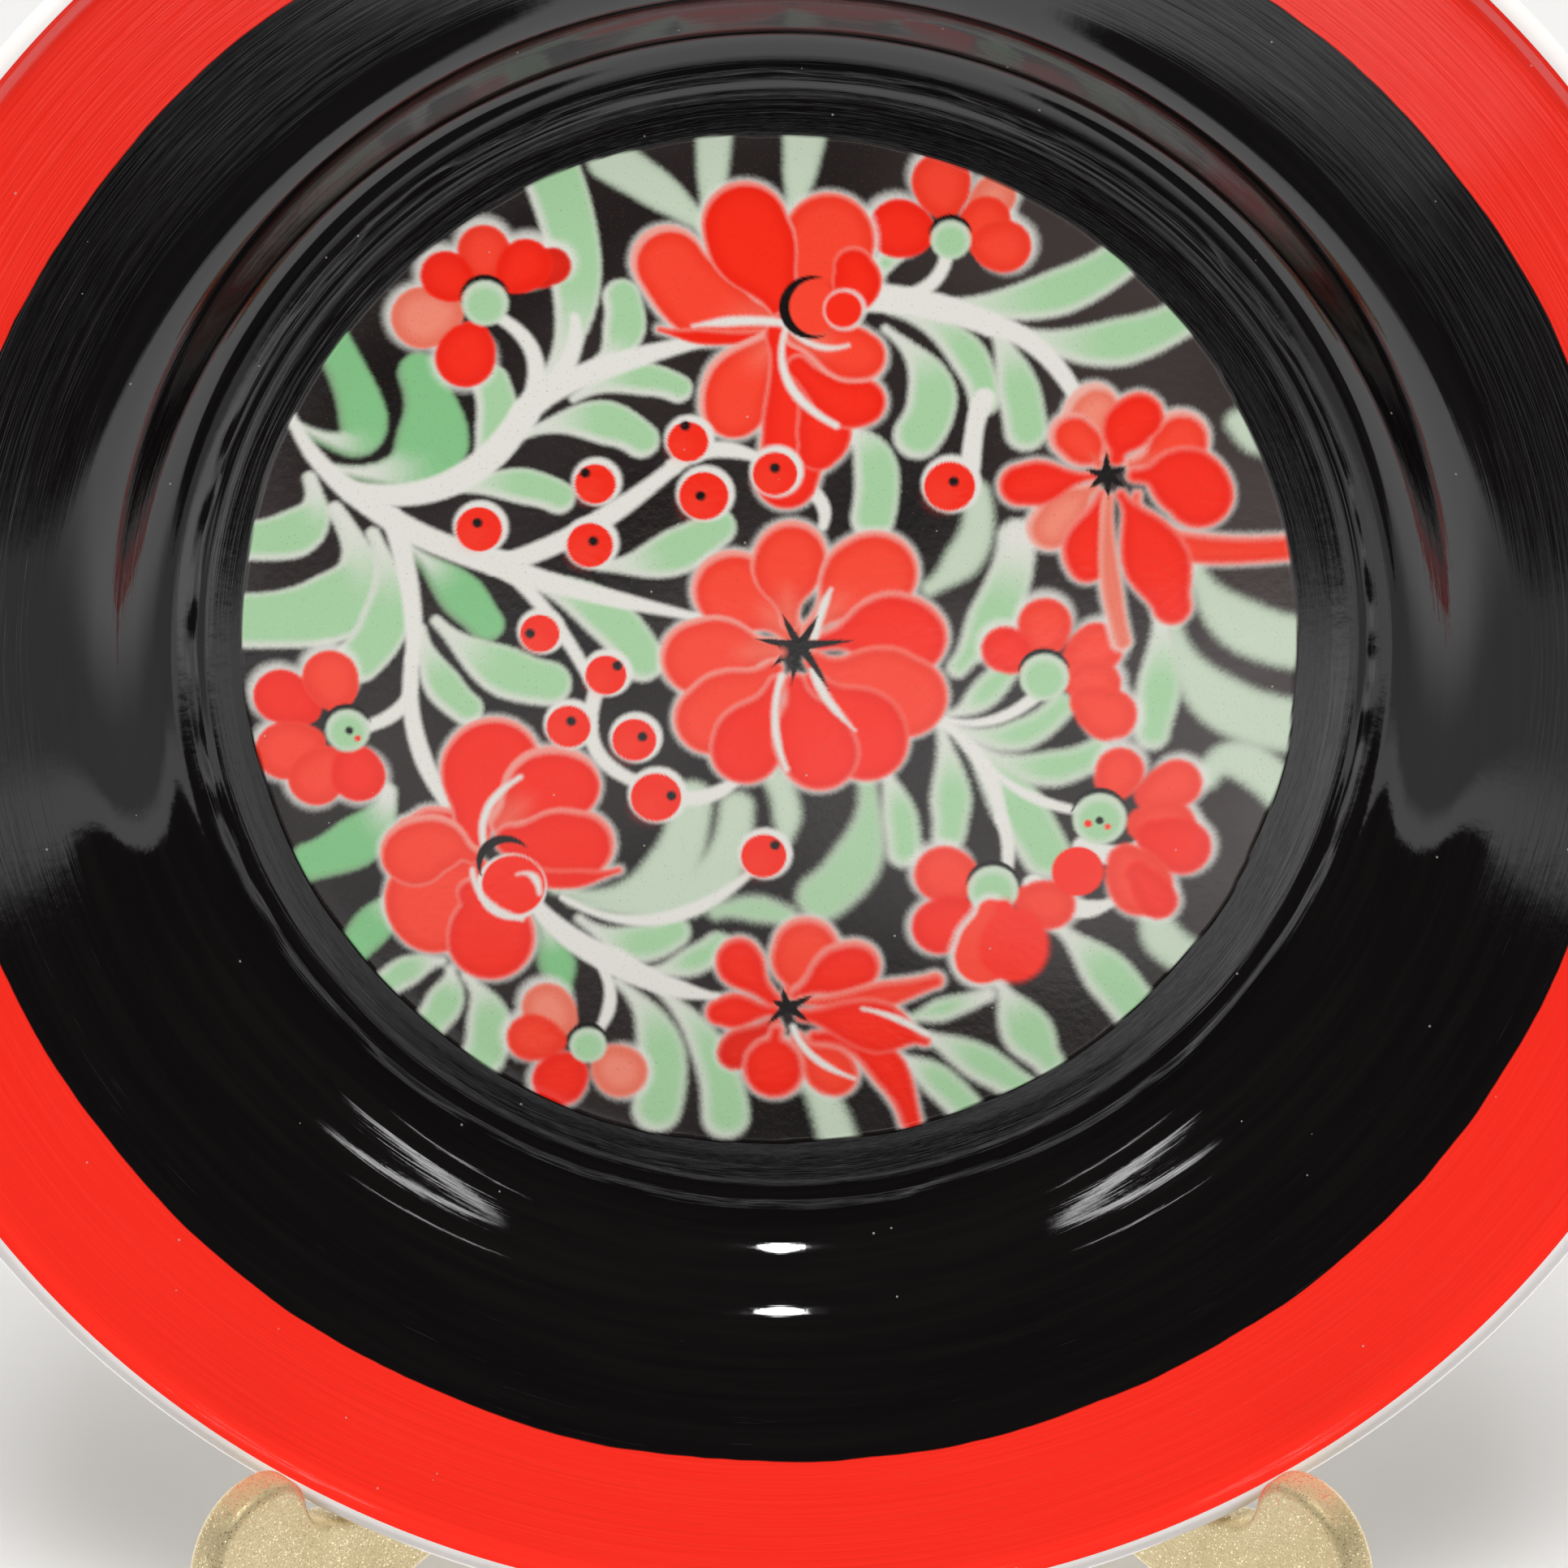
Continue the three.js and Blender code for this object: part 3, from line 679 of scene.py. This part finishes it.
def ridge_lumps(r, turn):
    """Uneven paint on the soft ridge at the floor's edge, and slow waves in the glaze."""
    ridge = np.exp(-(((r - 71.6) / 0.7) ** 2))
    return ridge * wobble(turn, 11, 9, 60, 0.14) + wobble(turn, 12, 2, 6, 0.02)


def build_bowl():
    front = revolve("bowl_rings", front_outline(), SEGMENTS * 2, ridge_lumps)
    body = revolve("bowl_body", lip_and_back(), SEGMENTS)
    return medallion(), front, body


# -------- stand


def board_outline(slot_from_below):
    """The board's side outline in mm: s from the hook backwards, z up."""
    ledge, middle, clear, thick = 28.0, 72.0, 0.3, 5.0
    splay = math.radians(45)
    hook = 58.5
    crossing = hook / math.sin(splay)
    drop = math.sqrt(RIM**2 - hook**2)
    lip_z = ledge + 1 + drop * math.cos(LEAN)

    def rest(z):
        y = (FOOT_DEPTH + FOOT_GAP) / math.cos(LEAN) + (z - lip_z) * math.tan(LEAN)
        return (drop * math.sin(LEAN) + y) / math.cos(splay) + thick / 2

    top = lip_z + 46
    half = thick / 2 + clear

    def cubic(a, b, c, d, n=14):
        t = np.linspace(0, 1, n + 1)[1:, None]
        a, b, c, d = (np.array(q, float) for q in (a, b, c, d))
        return (1 - t) ** 3 * a + 3 * t * (1 - t) ** 2 * b + 3 * t**2 * (1 - t) * c + t**3 * d

    def conic(a, b, c, n=8):
        a, b, c = (np.array(q, float) for q in (a, b, c))
        return cubic(a, a + (b - a) * 2 / 3, c + (b - c) * 2 / 3, c, n)

    line = [np.array([[-18.5, 0], [-18.5, ledge - 4]], float)]
    line.append(cubic((-18.5, ledge - 4), (-18.4, ledge + 4), (-14.5, ledge + 9.4), (-8.4, ledge + 9.4)))
    line.append(cubic((-8.4, ledge + 9.4), (-4.6, ledge + 9.4), (-2.6, ledge + 7.6), (-2, ledge + 4.6)))
    line.append(cubic((-2, ledge + 4.6), (-1.6, ledge + 1.4), (-0.8, ledge - 0.6), (1.2, ledge - 1)))
    line.append(cubic((1.2, ledge - 1), (3.4, ledge - 1.6), (6, ledge - 3.4), (10, ledge - 3.8)))
    line.append(conic(
        (rest(ledge) - 10, ledge - 3.8), (rest(ledge) - 1, ledge - 3.8), (rest(ledge + 7), ledge + 7)))
    if not slot_from_below:
        slope = rest(lip_z + 1) - rest(lip_z)
        z_in = lip_z + (crossing - half - rest(lip_z)) / slope
        z_out = lip_z + (crossing + half - rest(lip_z)) / slope
        line.append(np.array([
            [rest(z_in - 9), z_in - 9], [crossing - half, z_in - 9], [crossing - half, middle - clear],
            [crossing + half, middle - clear], [crossing + half, z_out]]))
    line.append(conic((rest(top - 8), top - 8), (rest(top), top), (rest(top) + 7, top)))
    line.append(conic((rest(top) + 13, top), (rest(top) + 19, top), (rest(top) + 18, top - 8)))
    line.append(cubic((rest(top) + 18, top - 8), (rest(top) + 12, 100), (rest(top) + 12, 60), (139, 6), 20))
    line.append(np.array([[140, 0], [126, 0]], float))
    line.append(cubic((126, 0), (116, 9), (104, 14), (88, 14)))
    if slot_from_below:
        line.append(np.array([
            [crossing + half, 14], [crossing + half, middle + clear], [crossing - half, middle + clear],
            [crossing - half, 14]]))
    line.append(np.array([[36, 14]], float))
    line.append(cubic((36, 14), (20, 13), (4, 11), (-6, 0)))
    return np.vstack(line), hook, splay, thick


def build_board(name, side, slot_from_below):
    """A rounded flat board from a filled curve, turned to its place under the bowl."""
    outline, hook, splay, thick = board_outline(slot_from_below)
    edge = 1.3
    curve = bpy.data.curves.new(name + "_outline", "CURVE")
    curve.dimensions = "2D"
    curve.fill_mode = "BOTH"
    curve.extrude = (thick / 2 - edge) * MM
    curve.bevel_depth = edge * MM
    curve.bevel_resolution = 4
    curve.offset = -edge * MM
    spline = curve.splines.new("POLY")
    spline.points.add(len(outline) - 1)
    for point, (s, z) in zip(spline.points, outline):
        point.co = (s * MM, z * MM, 0, 1)
    spline.use_cyclic_u = True
    holder = bpy.data.objects.new(name + "_outline", curve)
    bpy.context.scene.collection.objects.link(holder)
    bpy.context.view_layer.update()
    mesh = bpy.data.meshes.new_from_object(holder.evaluated_get(bpy.context.evaluated_depsgraph_get()))
    bpy.data.objects.remove(holder)
    low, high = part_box("stand_left" if side < 0 else "stand_right")
    shift = (low.y + high.y) / 2
    co = np.empty(len(mesh.vertices) * 3)
    mesh.vertices.foreach_get("co", co)
    s, z, t = co.reshape(-1, 3).T
    # Along the board is inwards and back, across it is t.
    x = side * (hook * MM - s * math.sin(splay)) + t * math.cos(splay)
    y = s * math.cos(splay) + side * t * math.sin(splay)
    y += shift - (y.min() + y.max()) / 2
    mesh.vertices.foreach_set("co", np.stack([x, y, z], 1).ravel())
    mesh.update()
    obj = bpy.data.objects.new(name, mesh)
    bpy.context.scene.collection.objects.link(obj)
    mesh.shade_smooth()
    mesh.set_sharp_from_angle(angle=math.radians(38))
    return obj


# -------- materials


class Nodes:
    """A few short ways to wire a material or a world. set() is for the shader's own sockets."""

    def __init__(self, name, kind="materials", shader="Principled BSDF"):
        self.owner = getattr(bpy.data, kind).new(name)
        self.owner.use_nodes = True
        self.tree = self.owner.node_tree
        self.shader = self.tree.nodes[shader]

    def add(self, kind, settings=None, **inputs):
        node = self.tree.nodes.new(kind)
        for key, value in (settings or {}).items():
            setattr(node, key, value)
        for key, value in inputs.items():
            self.wire(value, node.inputs[key.replace("_", " ")])
        return node

    def wire(self, value, socket):
        if isinstance(value, bpy.types.NodeSocket):
            self.tree.links.new(value, socket)
        else:
            socket.default_value = value

    def set(self, **inputs):
        for key, value in inputs.items():
            self.wire(value, self.shader.inputs[key.replace("_", " ")])

    def split(self, vector):
        parts = self.add("ShaderNodeSeparateXYZ", Vector=vector)
        return (parts.outputs[key] for key in "XYZ")

    def math(self, operation, a, b=0.0, kind="ShaderNodeMath"):
        node = self.add(kind, {"operation": operation})
        self.wire(a, node.inputs[0])
        if operation not in ("NORMALIZE", "LENGTH"):
            self.wire(b, node.inputs["Scale" if operation == "SCALE" else 1])
        return node.outputs["Value" if operation == "LENGTH" else 0]

    def vector(self, operation, a, b=None):
        return self.math(operation, a, b, "ShaderNodeVectorMath")

    def times(self, a, b):
        return self.math("MULTIPLY", a, b)

    def plus(self, a, b):
        return self.math("ADD", a, b)

    def minus(self, a, b):
        return self.math("SUBTRACT", a, b)

    def mix(self, factor, a, b):
        node = self.add("ShaderNodeMix", {"data_type": "RGBA"})
        self.wire(factor, node.inputs["Factor"])
        self.wire(a, node.inputs["A"])
        self.wire(b, node.inputs["B"])
        return node.outputs["Result"]

    def remap(self, value, low, high, to_low=0.0, to_high=1.0, kind="SMOOTHSTEP"):
        node = self.add("ShaderNodeMapRange", {"interpolation_type": kind}, Value=value, From_Min=low,
                        From_Max=high, To_Min=to_low, To_Max=to_high)
        return node.outputs["Result"]

    def noise(self, vector, scale, detail=2.0, roughness=0.5):
        node = self.add("ShaderNodeTexNoise", Vector=vector, Scale=scale, Detail=detail, Roughness=roughness)
        return node.outputs["Fac"]

    def attribute(self, name, output="Vector"):
        return self.add("ShaderNodeAttribute", {"attribute_name": name}).outputs[output]

    def bump(self, height, distance, strength=1.0, normal=None):
        node = self.add("ShaderNodeBump", Height=height, Distance=distance, Strength=strength)
        if normal is not None:
            self.wire(normal, node.inputs["Normal"])
        return node.outputs["Normal"]


def rgb(*colour):
    """sRGB 0-255 to a socket's linear colour."""
    return (*[float(c) for c in linear(*colour)], 1.0)


def streaks(n, polar, along, across):
    """Noise drawn out into rings round the bowl: along sets how long the streaks are, across how fine."""
    x, y, radius = n.split(polar)
    drawn_out = (n.times(x, along), n.times(y, along), n.times(radius, across))
    vector = n.add("ShaderNodeCombineXYZ", **dict(zip("XYZ", drawn_out)))
    return n.noise(vector.outputs[0], 1.0, 3.0, 0.6), radius


def position(n):
    return n.add("ShaderNodeNewGeometry").outputs["Position"]


def dust(n, colour):
    """A few pale specks on the glaze."""
    cells = n.add("ShaderNodeTexVoronoi", Vector=position(n), Scale=260.0)
    pick = n.add("ShaderNodeSeparateColor", Color=cells.outputs["Color"])
    near = n.math("LESS_THAN", cells.outputs["Distance"], 0.04)
    few = n.math("GREATER_THAN", pick.outputs["Red"], 0.55)
    return n.mix(n.times(n.times(near, few), 0.5), colour, rgb(190, 186, 180))


def glaze(n, index):
    """A clear layer of glass over the paint."""
    n.set(IOR=index, Coat_Weight=0.5, Coat_Roughness=0.02, Coat_IOR=1.5)


def ring_material():
    """Red and black bands brushed on a turntable, under a gloss glaze."""
    n = Nodes("painted_rings")
    polar = n.attribute("polar")
    lines, radius = streaks(n, polar, 1.7, 1.5)
    fine, _ = streaks(n, polar, 3.0, 3.4)
    broad, _ = streaks(n, polar, 2.6, 0.8)
    x, y, _ = n.split(polar)
    flat = n.add("ShaderNodeCombineXYZ", X=x, Y=y).outputs[0]
    wander = n.minus(n.noise(flat, 3.0, 4.0, 0.6), 0.5)
    shaky = n.plus(radius, n.times(wander, 1.6))
    red_part = n.remap(shaky, RED_INNER - 0.12, RED_INNER + 0.12)
    red = n.mix(n.remap(fine, 0.3, 0.75), rgb(253, 46, 33), rgb(255, 52, 38))
    black = n.mix(n.remap(broad, 0.35, 0.8), rgb(14, 12, 12), rgb(20, 17, 17))
    colour = n.mix(red_part, black, red)
    n.set(Base_Color=dust(n, colour))
    peel = n.noise(position(n), 620.0, 2.0, 0.5)
    ridge = n.times(red_part, 0.3)
    # The brush lines are strong on the rim, weak on the steep wall.
    share = n.plus(n.remap(radius, 86.5, 90.0, 0.12, 1.0), n.remap(radius, 71.5, 73.5, 0.4, 0.0))
    lines = n.plus(lines, n.times(fine, 0.35))
    first = n.bump(n.plus(n.times(lines, share), ridge), 0.00008)
    n.set(Normal=n.bump(peel, 0.000006, normal=first))
    n.set(Roughness=n.remap(fine, 0.2, 0.8, 0.02, 0.06))
    glaze(n, 1.55)
    return n.owner


def medallion_material():
    """The airbrushed flowers, under an orange-peel glaze."""
    n = Nodes("painted_flowers")
    paint_colour = n.attribute("paint", "Color")
    ring = n.attribute("ring", "Fac")
    speck = n.noise(position(n), 4200.0, 1.0)
    mottled = n.mix(n.remap(speck, 0.62, 0.8, 0.0, 0.3), paint_colour, rgb(120, 70, 62))
    cloud = n.noise(position(n), 60.0, 3.0)
    whole = n.mix(ring, mottled, paint_colour)
    n.set(Base_Color=dust(n, whole))
    fine, _ = streaks(n, n.attribute("polar"), 5.0, 4.2)
    brushed = n.bump(n.times(fine, ring), 0.00002)
    peel = n.noise(position(n), 900.0, 2.0, 0.5)
    peel = n.times(peel, n.minus(1.0, n.times(ring, 0.8)))
    n.set(Normal=n.bump(peel, 0.000012, normal=brushed))
    rough = n.times(n.remap(cloud, 0.3, 0.7, 0.1, 0.17), n.minus(1.0, n.times(ring, 0.7)))
    n.set(Roughness=rough)
    glaze(n, 1.5)
    return n.owner


def porcelain_material():
    n = Nodes("white_porcelain")
    polar = n.attribute("polar")
    fine, _ = streaks(n, polar, 4.0, 3.0)
    cloud = n.noise(position(n), 45.0, 4.0)
    base = n.mix(n.remap(cloud, 0.3, 0.75), rgb(244, 239, 237), rgb(236, 230, 227))
    specks = n.add("ShaderNodeTexVoronoi", Vector=position(n), Scale=150.0)
    few = n.add("ShaderNodeSeparateColor", Color=specks.outputs["Color"])
    mark = n.times(n.math("LESS_THAN", specks.outputs["Distance"], 0.03),
                  n.math("GREATER_THAN", few.outputs["Green"], 0.9))
    n.set(Base_Color=n.mix(mark, base, rgb(120, 96, 80)))
    bumps = n.bump(n.plus(n.times(fine, 0.6), cloud), 0.00003)
    n.set(Normal=n.bump(n.noise(position(n), 700.0), 0.000006, normal=bumps))
    n.set(Roughness=n.remap(cloud, 0.3, 0.7, 0.1, 0.2))
    return n.owner


def gold_material():
    """Satin gold paint full of fine glitter: each small cell is a flake with its own tilt."""
    n = Nodes("gold_glitter")
    where = position(n)
    flakes = n.add("ShaderNodeTexVoronoi", Vector=where, Scale=6500.0)
    tint = n.add("ShaderNodeSeparateColor", Color=flakes.outputs["Color"])
    cloud = n.noise(where, 120.0, 3.0)
    base = n.mix(n.remap(cloud, 0.3, 0.7), rgb(222, 202, 154), rgb(232, 213, 168))
    dark = n.mix(n.remap(tint.outputs["Red"], 0.0, 0.35, 0.5, 0.0), base, rgb(150, 128, 84))
    shine = n.remap(tint.outputs["Green"], 0.9, 0.97)
    n.set(Base_Color=n.mix(shine, dark, rgb(255, 240, 196)))
    n.set(Metallic=n.plus(n.times(shine, 0.4), 0.5))
    n.set(Roughness=n.remap(shine, 0.0, 1.0, 0.42, 0.16))
    normal = n.add("ShaderNodeNewGeometry").outputs["Normal"]
    tilt = n.vector("SUBTRACT", flakes.outputs["Color"], (0.5, 0.5, 0.5))
    scaled = n.vector("SCALE", tilt, n.plus(n.times(shine, 0.5), 0.18))
    turned = n.vector("NORMALIZE", n.vector("ADD", normal, scaled))
    n.set(Normal=n.bump(n.noise(where, 500.0, 3.0), 0.00003, normal=turned))
    return n.owner


def floor_material():
    """A matt pale table, with a little light of its own where the lamp falls off."""
    n = Nodes("pale_table")
    cloud = n.noise(position(n), 2.0, 2.0)
    colour = n.mix(cloud, rgb(212, 211, 210), rgb(216, 216, 215))
    n.set(Base_Color=colour, Roughness=0.7, Emission_Color=(1, 1, 0.995, 1))
    away = n.vector("LENGTH", position(n))
    n.set(Emission_Strength=n.remap(away, 0.4, 2.6, 0.17, 0.85))
    return n.owner


def give(obj, material, body, slot, *nodes):
    """Material, body, finish slot (not used) and the CAD nodes that a piece stands for."""
    obj.data.materials.clear()
    obj.data.materials.append(material)
    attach(obj, body)
    if nodes:
        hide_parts(*nodes)


# -------- stage


def build_floor():
    """The table: the camera sees it, and the shadows on it, but the bowl isn't lit or mirrored by it."""
    bpy.ops.mesh.primitive_plane_add(size=12, location=(0, 0, 0))
    floor = bpy.context.object
    floor.name = "table"
    floor.data.materials.append(floor_material())
    floor.visible_glossy = floor.visible_diffuse = floor.visible_shadow = False


def aim(obj, target):
    direction = target - obj.location
    obj.rotation_euler = direction.to_track_quat("-Z", "Y").to_euler()


def lamp(name, azimuth, elevation, distance, size, power, colour=(1, 1, 1)):
    """A rectangular soft light, aimed at the bowl: azimuth 0 is in front, positive to the right."""
    middle = Vector(CENTRE * MM)
    a, e = math.radians(azimuth), math.radians(elevation)
    data = bpy.data.lights.new(name, "AREA")
    data.shape = "RECTANGLE"
    data.size, data.size_y = size
    data.energy = power
    data.color = colour
    obj = bpy.data.objects.new(name, data)
    toward = Vector((math.sin(a) * math.cos(e), -math.cos(a) * math.cos(e), math.sin(e)))
    obj.location = middle + distance * toward
    aim(obj, middle)
    obj.visible_camera = obj.visible_glossy = False
    bpy.context.scene.collection.objects.link(obj)


def build_lights():
    """One strong lamp high in front gives the light and the shadow; the room is seen in the glaze only."""
    lamp("key", 0, 76, 1.5, (0.9, 0.9), 33.5, (1.0, 0.99, 0.985))
    n = Nodes("studio", "worlds", "Background")
    n.set(Color=(1, 0.995, 0.985, 1))
    # Little light from the front, more from behind and from below.
    where = n.add("ShaderNodeTexCoord").outputs["Generated"]
    _, y, z = n.split(where)
    behind = n.remap(y, -0.2, 0.7, 0.06, 0.55, "LINEAR")
    below = n.remap(z, -0.12, -0.6, 0.0, 1.4, "LINEAR")
    n.set(Strength=n.plus(behind, below))
    world = n.owner
    world.cycles_visibility.glossy = world.cycles_visibility.camera = False
    bpy.context.scene.world = world


def shell(name, radius, seen_by):
    """A large ball round the scene that only one kind of ray sees."""
    middle = Vector(CENTRE * MM)
    bpy.ops.mesh.primitive_uv_sphere_add(segments=32, ring_count=16, radius=radius, location=middle)
    ball = bpy.context.object
    ball.name = name
    for kind in ("camera", "diffuse", "glossy", "transmission", "volume_scatter", "shadow"):
        setattr(ball, "visible_" + kind, kind == seen_by)
    return ball


def glow(n, strength, colour):
    """Turns a material into a plain light source that is not sampled as a lamp."""
    shine = n.add("ShaderNodeEmission", Strength=strength)
    shine.inputs["Color"].default_value = (*colour, 1)
    n.wire(shine.outputs[0], n.tree.nodes["Material Output"].inputs["Surface"])
    n.owner.cycles.emission_sampling = "NONE"
    return n.owner


def build_backdrop():
    """White behind everything, for the camera only."""
    shell("backdrop", 7, "camera").data.materials.append(glow(Nodes("white_backdrop"), 0.93, (1, 1, 1)))


def build_room():
    """A shell that only reflections see: the pale table in front with a few dark things on it, the
    unlit room above, the lamp and the windows. Patches are azimuth, elevation, half sizes, value."""
    n = Nodes("room_seen_in_the_glaze")
    unit = n.vector("NORMALIZE", n.vector("SUBTRACT", position(n), tuple(CENTRE * MM)))
    x, y, z = n.split(unit)
    degrees = 180 / math.pi
    up = n.times(n.math("ARCSINE", z), degrees)
    across = n.times(n.math("ARCTAN2", x, n.times(y, -1.0)), degrees)

    def patch(azimuth, elevation, wide, high, soft=0.3):
        a = n.math("DIVIDE", n.minus(across, azimuth), wide)
        e = n.math("DIVIDE", n.minus(up, elevation), high)
        far = n.math("SQRT", n.plus(n.times(a, a), n.times(e, e)))
        return n.remap(far, 1 - soft, 1 + soft, 1.0, 0.0)

    middle = patch(0, 0, 13, 40, 0.45)
    edge = n.minus(2.6, n.times(middle, 4.5))
    below = n.remap(n.minus(up, edge), -0.5, 0.5, 1.0, 0.0)
    # A bright strip at the far edge of the table, less light in its middle, most of it close by.
    strip = n.remap(n.minus(up, edge), -4.5, -2.0, 0.0, 0.42)
    near = n.plus(n.remap(up, -8.0, -22.0, 0.36, 0.98), strip)
    light = n.times(below, near)
    for dark in ((24.5, -28.5, 15.5, 18), (19, -13.5, 6.5, 6), (-26.5, -28.5, 13.8, 18),
                 (-21, -13, 6.5, 6.5), (0, -8.4, 7, 3.2)):
        light = n.times(light, n.minus(1.0, n.times(patch(*dark, 0.12), 0.97)))
    light = n.plus(light, n.remap(y, 0.1, 0.5, 0.012, 0.8))
    for *where, value in ((0, 68, 5.5, 4.5, 80), (4.5, -4, 4, 1.8, 0.5), (74, 47, 1.1, 10, 6),
                          (50, 46, 0.9, 8, 4), (-74, 49, 1.1, 9, 7), (-50, 45, 0.9, 7, 4)):
        light = n.plus(light, n.times(patch(*where, 0.2), value))
    shell("room", 5, "glossy").data.materials.append(glow(n, light, (0.99, 0.99, 1.0)))


def build_camera():
    """The photograph's viewpoint: in front, above, and about 0.85 m from the bowl's mouth."""
    distance, elevation = 850.0, math.radians(33.4)
    across, below, lens = 0.29, 9.96, 163.78882
    forward = np.array([0, math.cos(elevation), -math.sin(elevation)])
    up = np.array([0, math.sin(elevation), math.cos(elevation)])
    spot = CENTRE - below * up + np.array([across, 0, 0]) - distance * forward
    data = bpy.data.cameras.new("camera")
    data.sensor_width = 36
    data.lens = lens
    data.clip_start = 0.01
    camera = bpy.data.objects.new("camera", data)
    camera.location = Vector(spot * MM)
    camera.rotation_euler = Vector(forward).to_track_quat("-Z", "Y").to_euler()
    bpy.context.scene.collection.objects.link(camera)
    bpy.context.scene.camera = camera


bpy.context.scene.view_settings.view_transform = "Standard"

disc_piece, rings_piece, body_piece = build_bowl()
give(disc_piece, medallion_material(), "bowl", "glazed_porcelain")
give(rings_piece, ring_material(), "bowl", "glazed_porcelain")
give(body_piece, porcelain_material(), "bowl", "glazed_porcelain", "bowl")
gold = gold_material()
give(build_board("stand_left_board", -1, True), gold, "stand", "gold_paint", "stand_left")
give(build_board("stand_right_board", 1, False), gold, "stand", "gold_paint", "stand_right")
build_floor()
build_lights()
build_room()
build_backdrop()
build_camera()
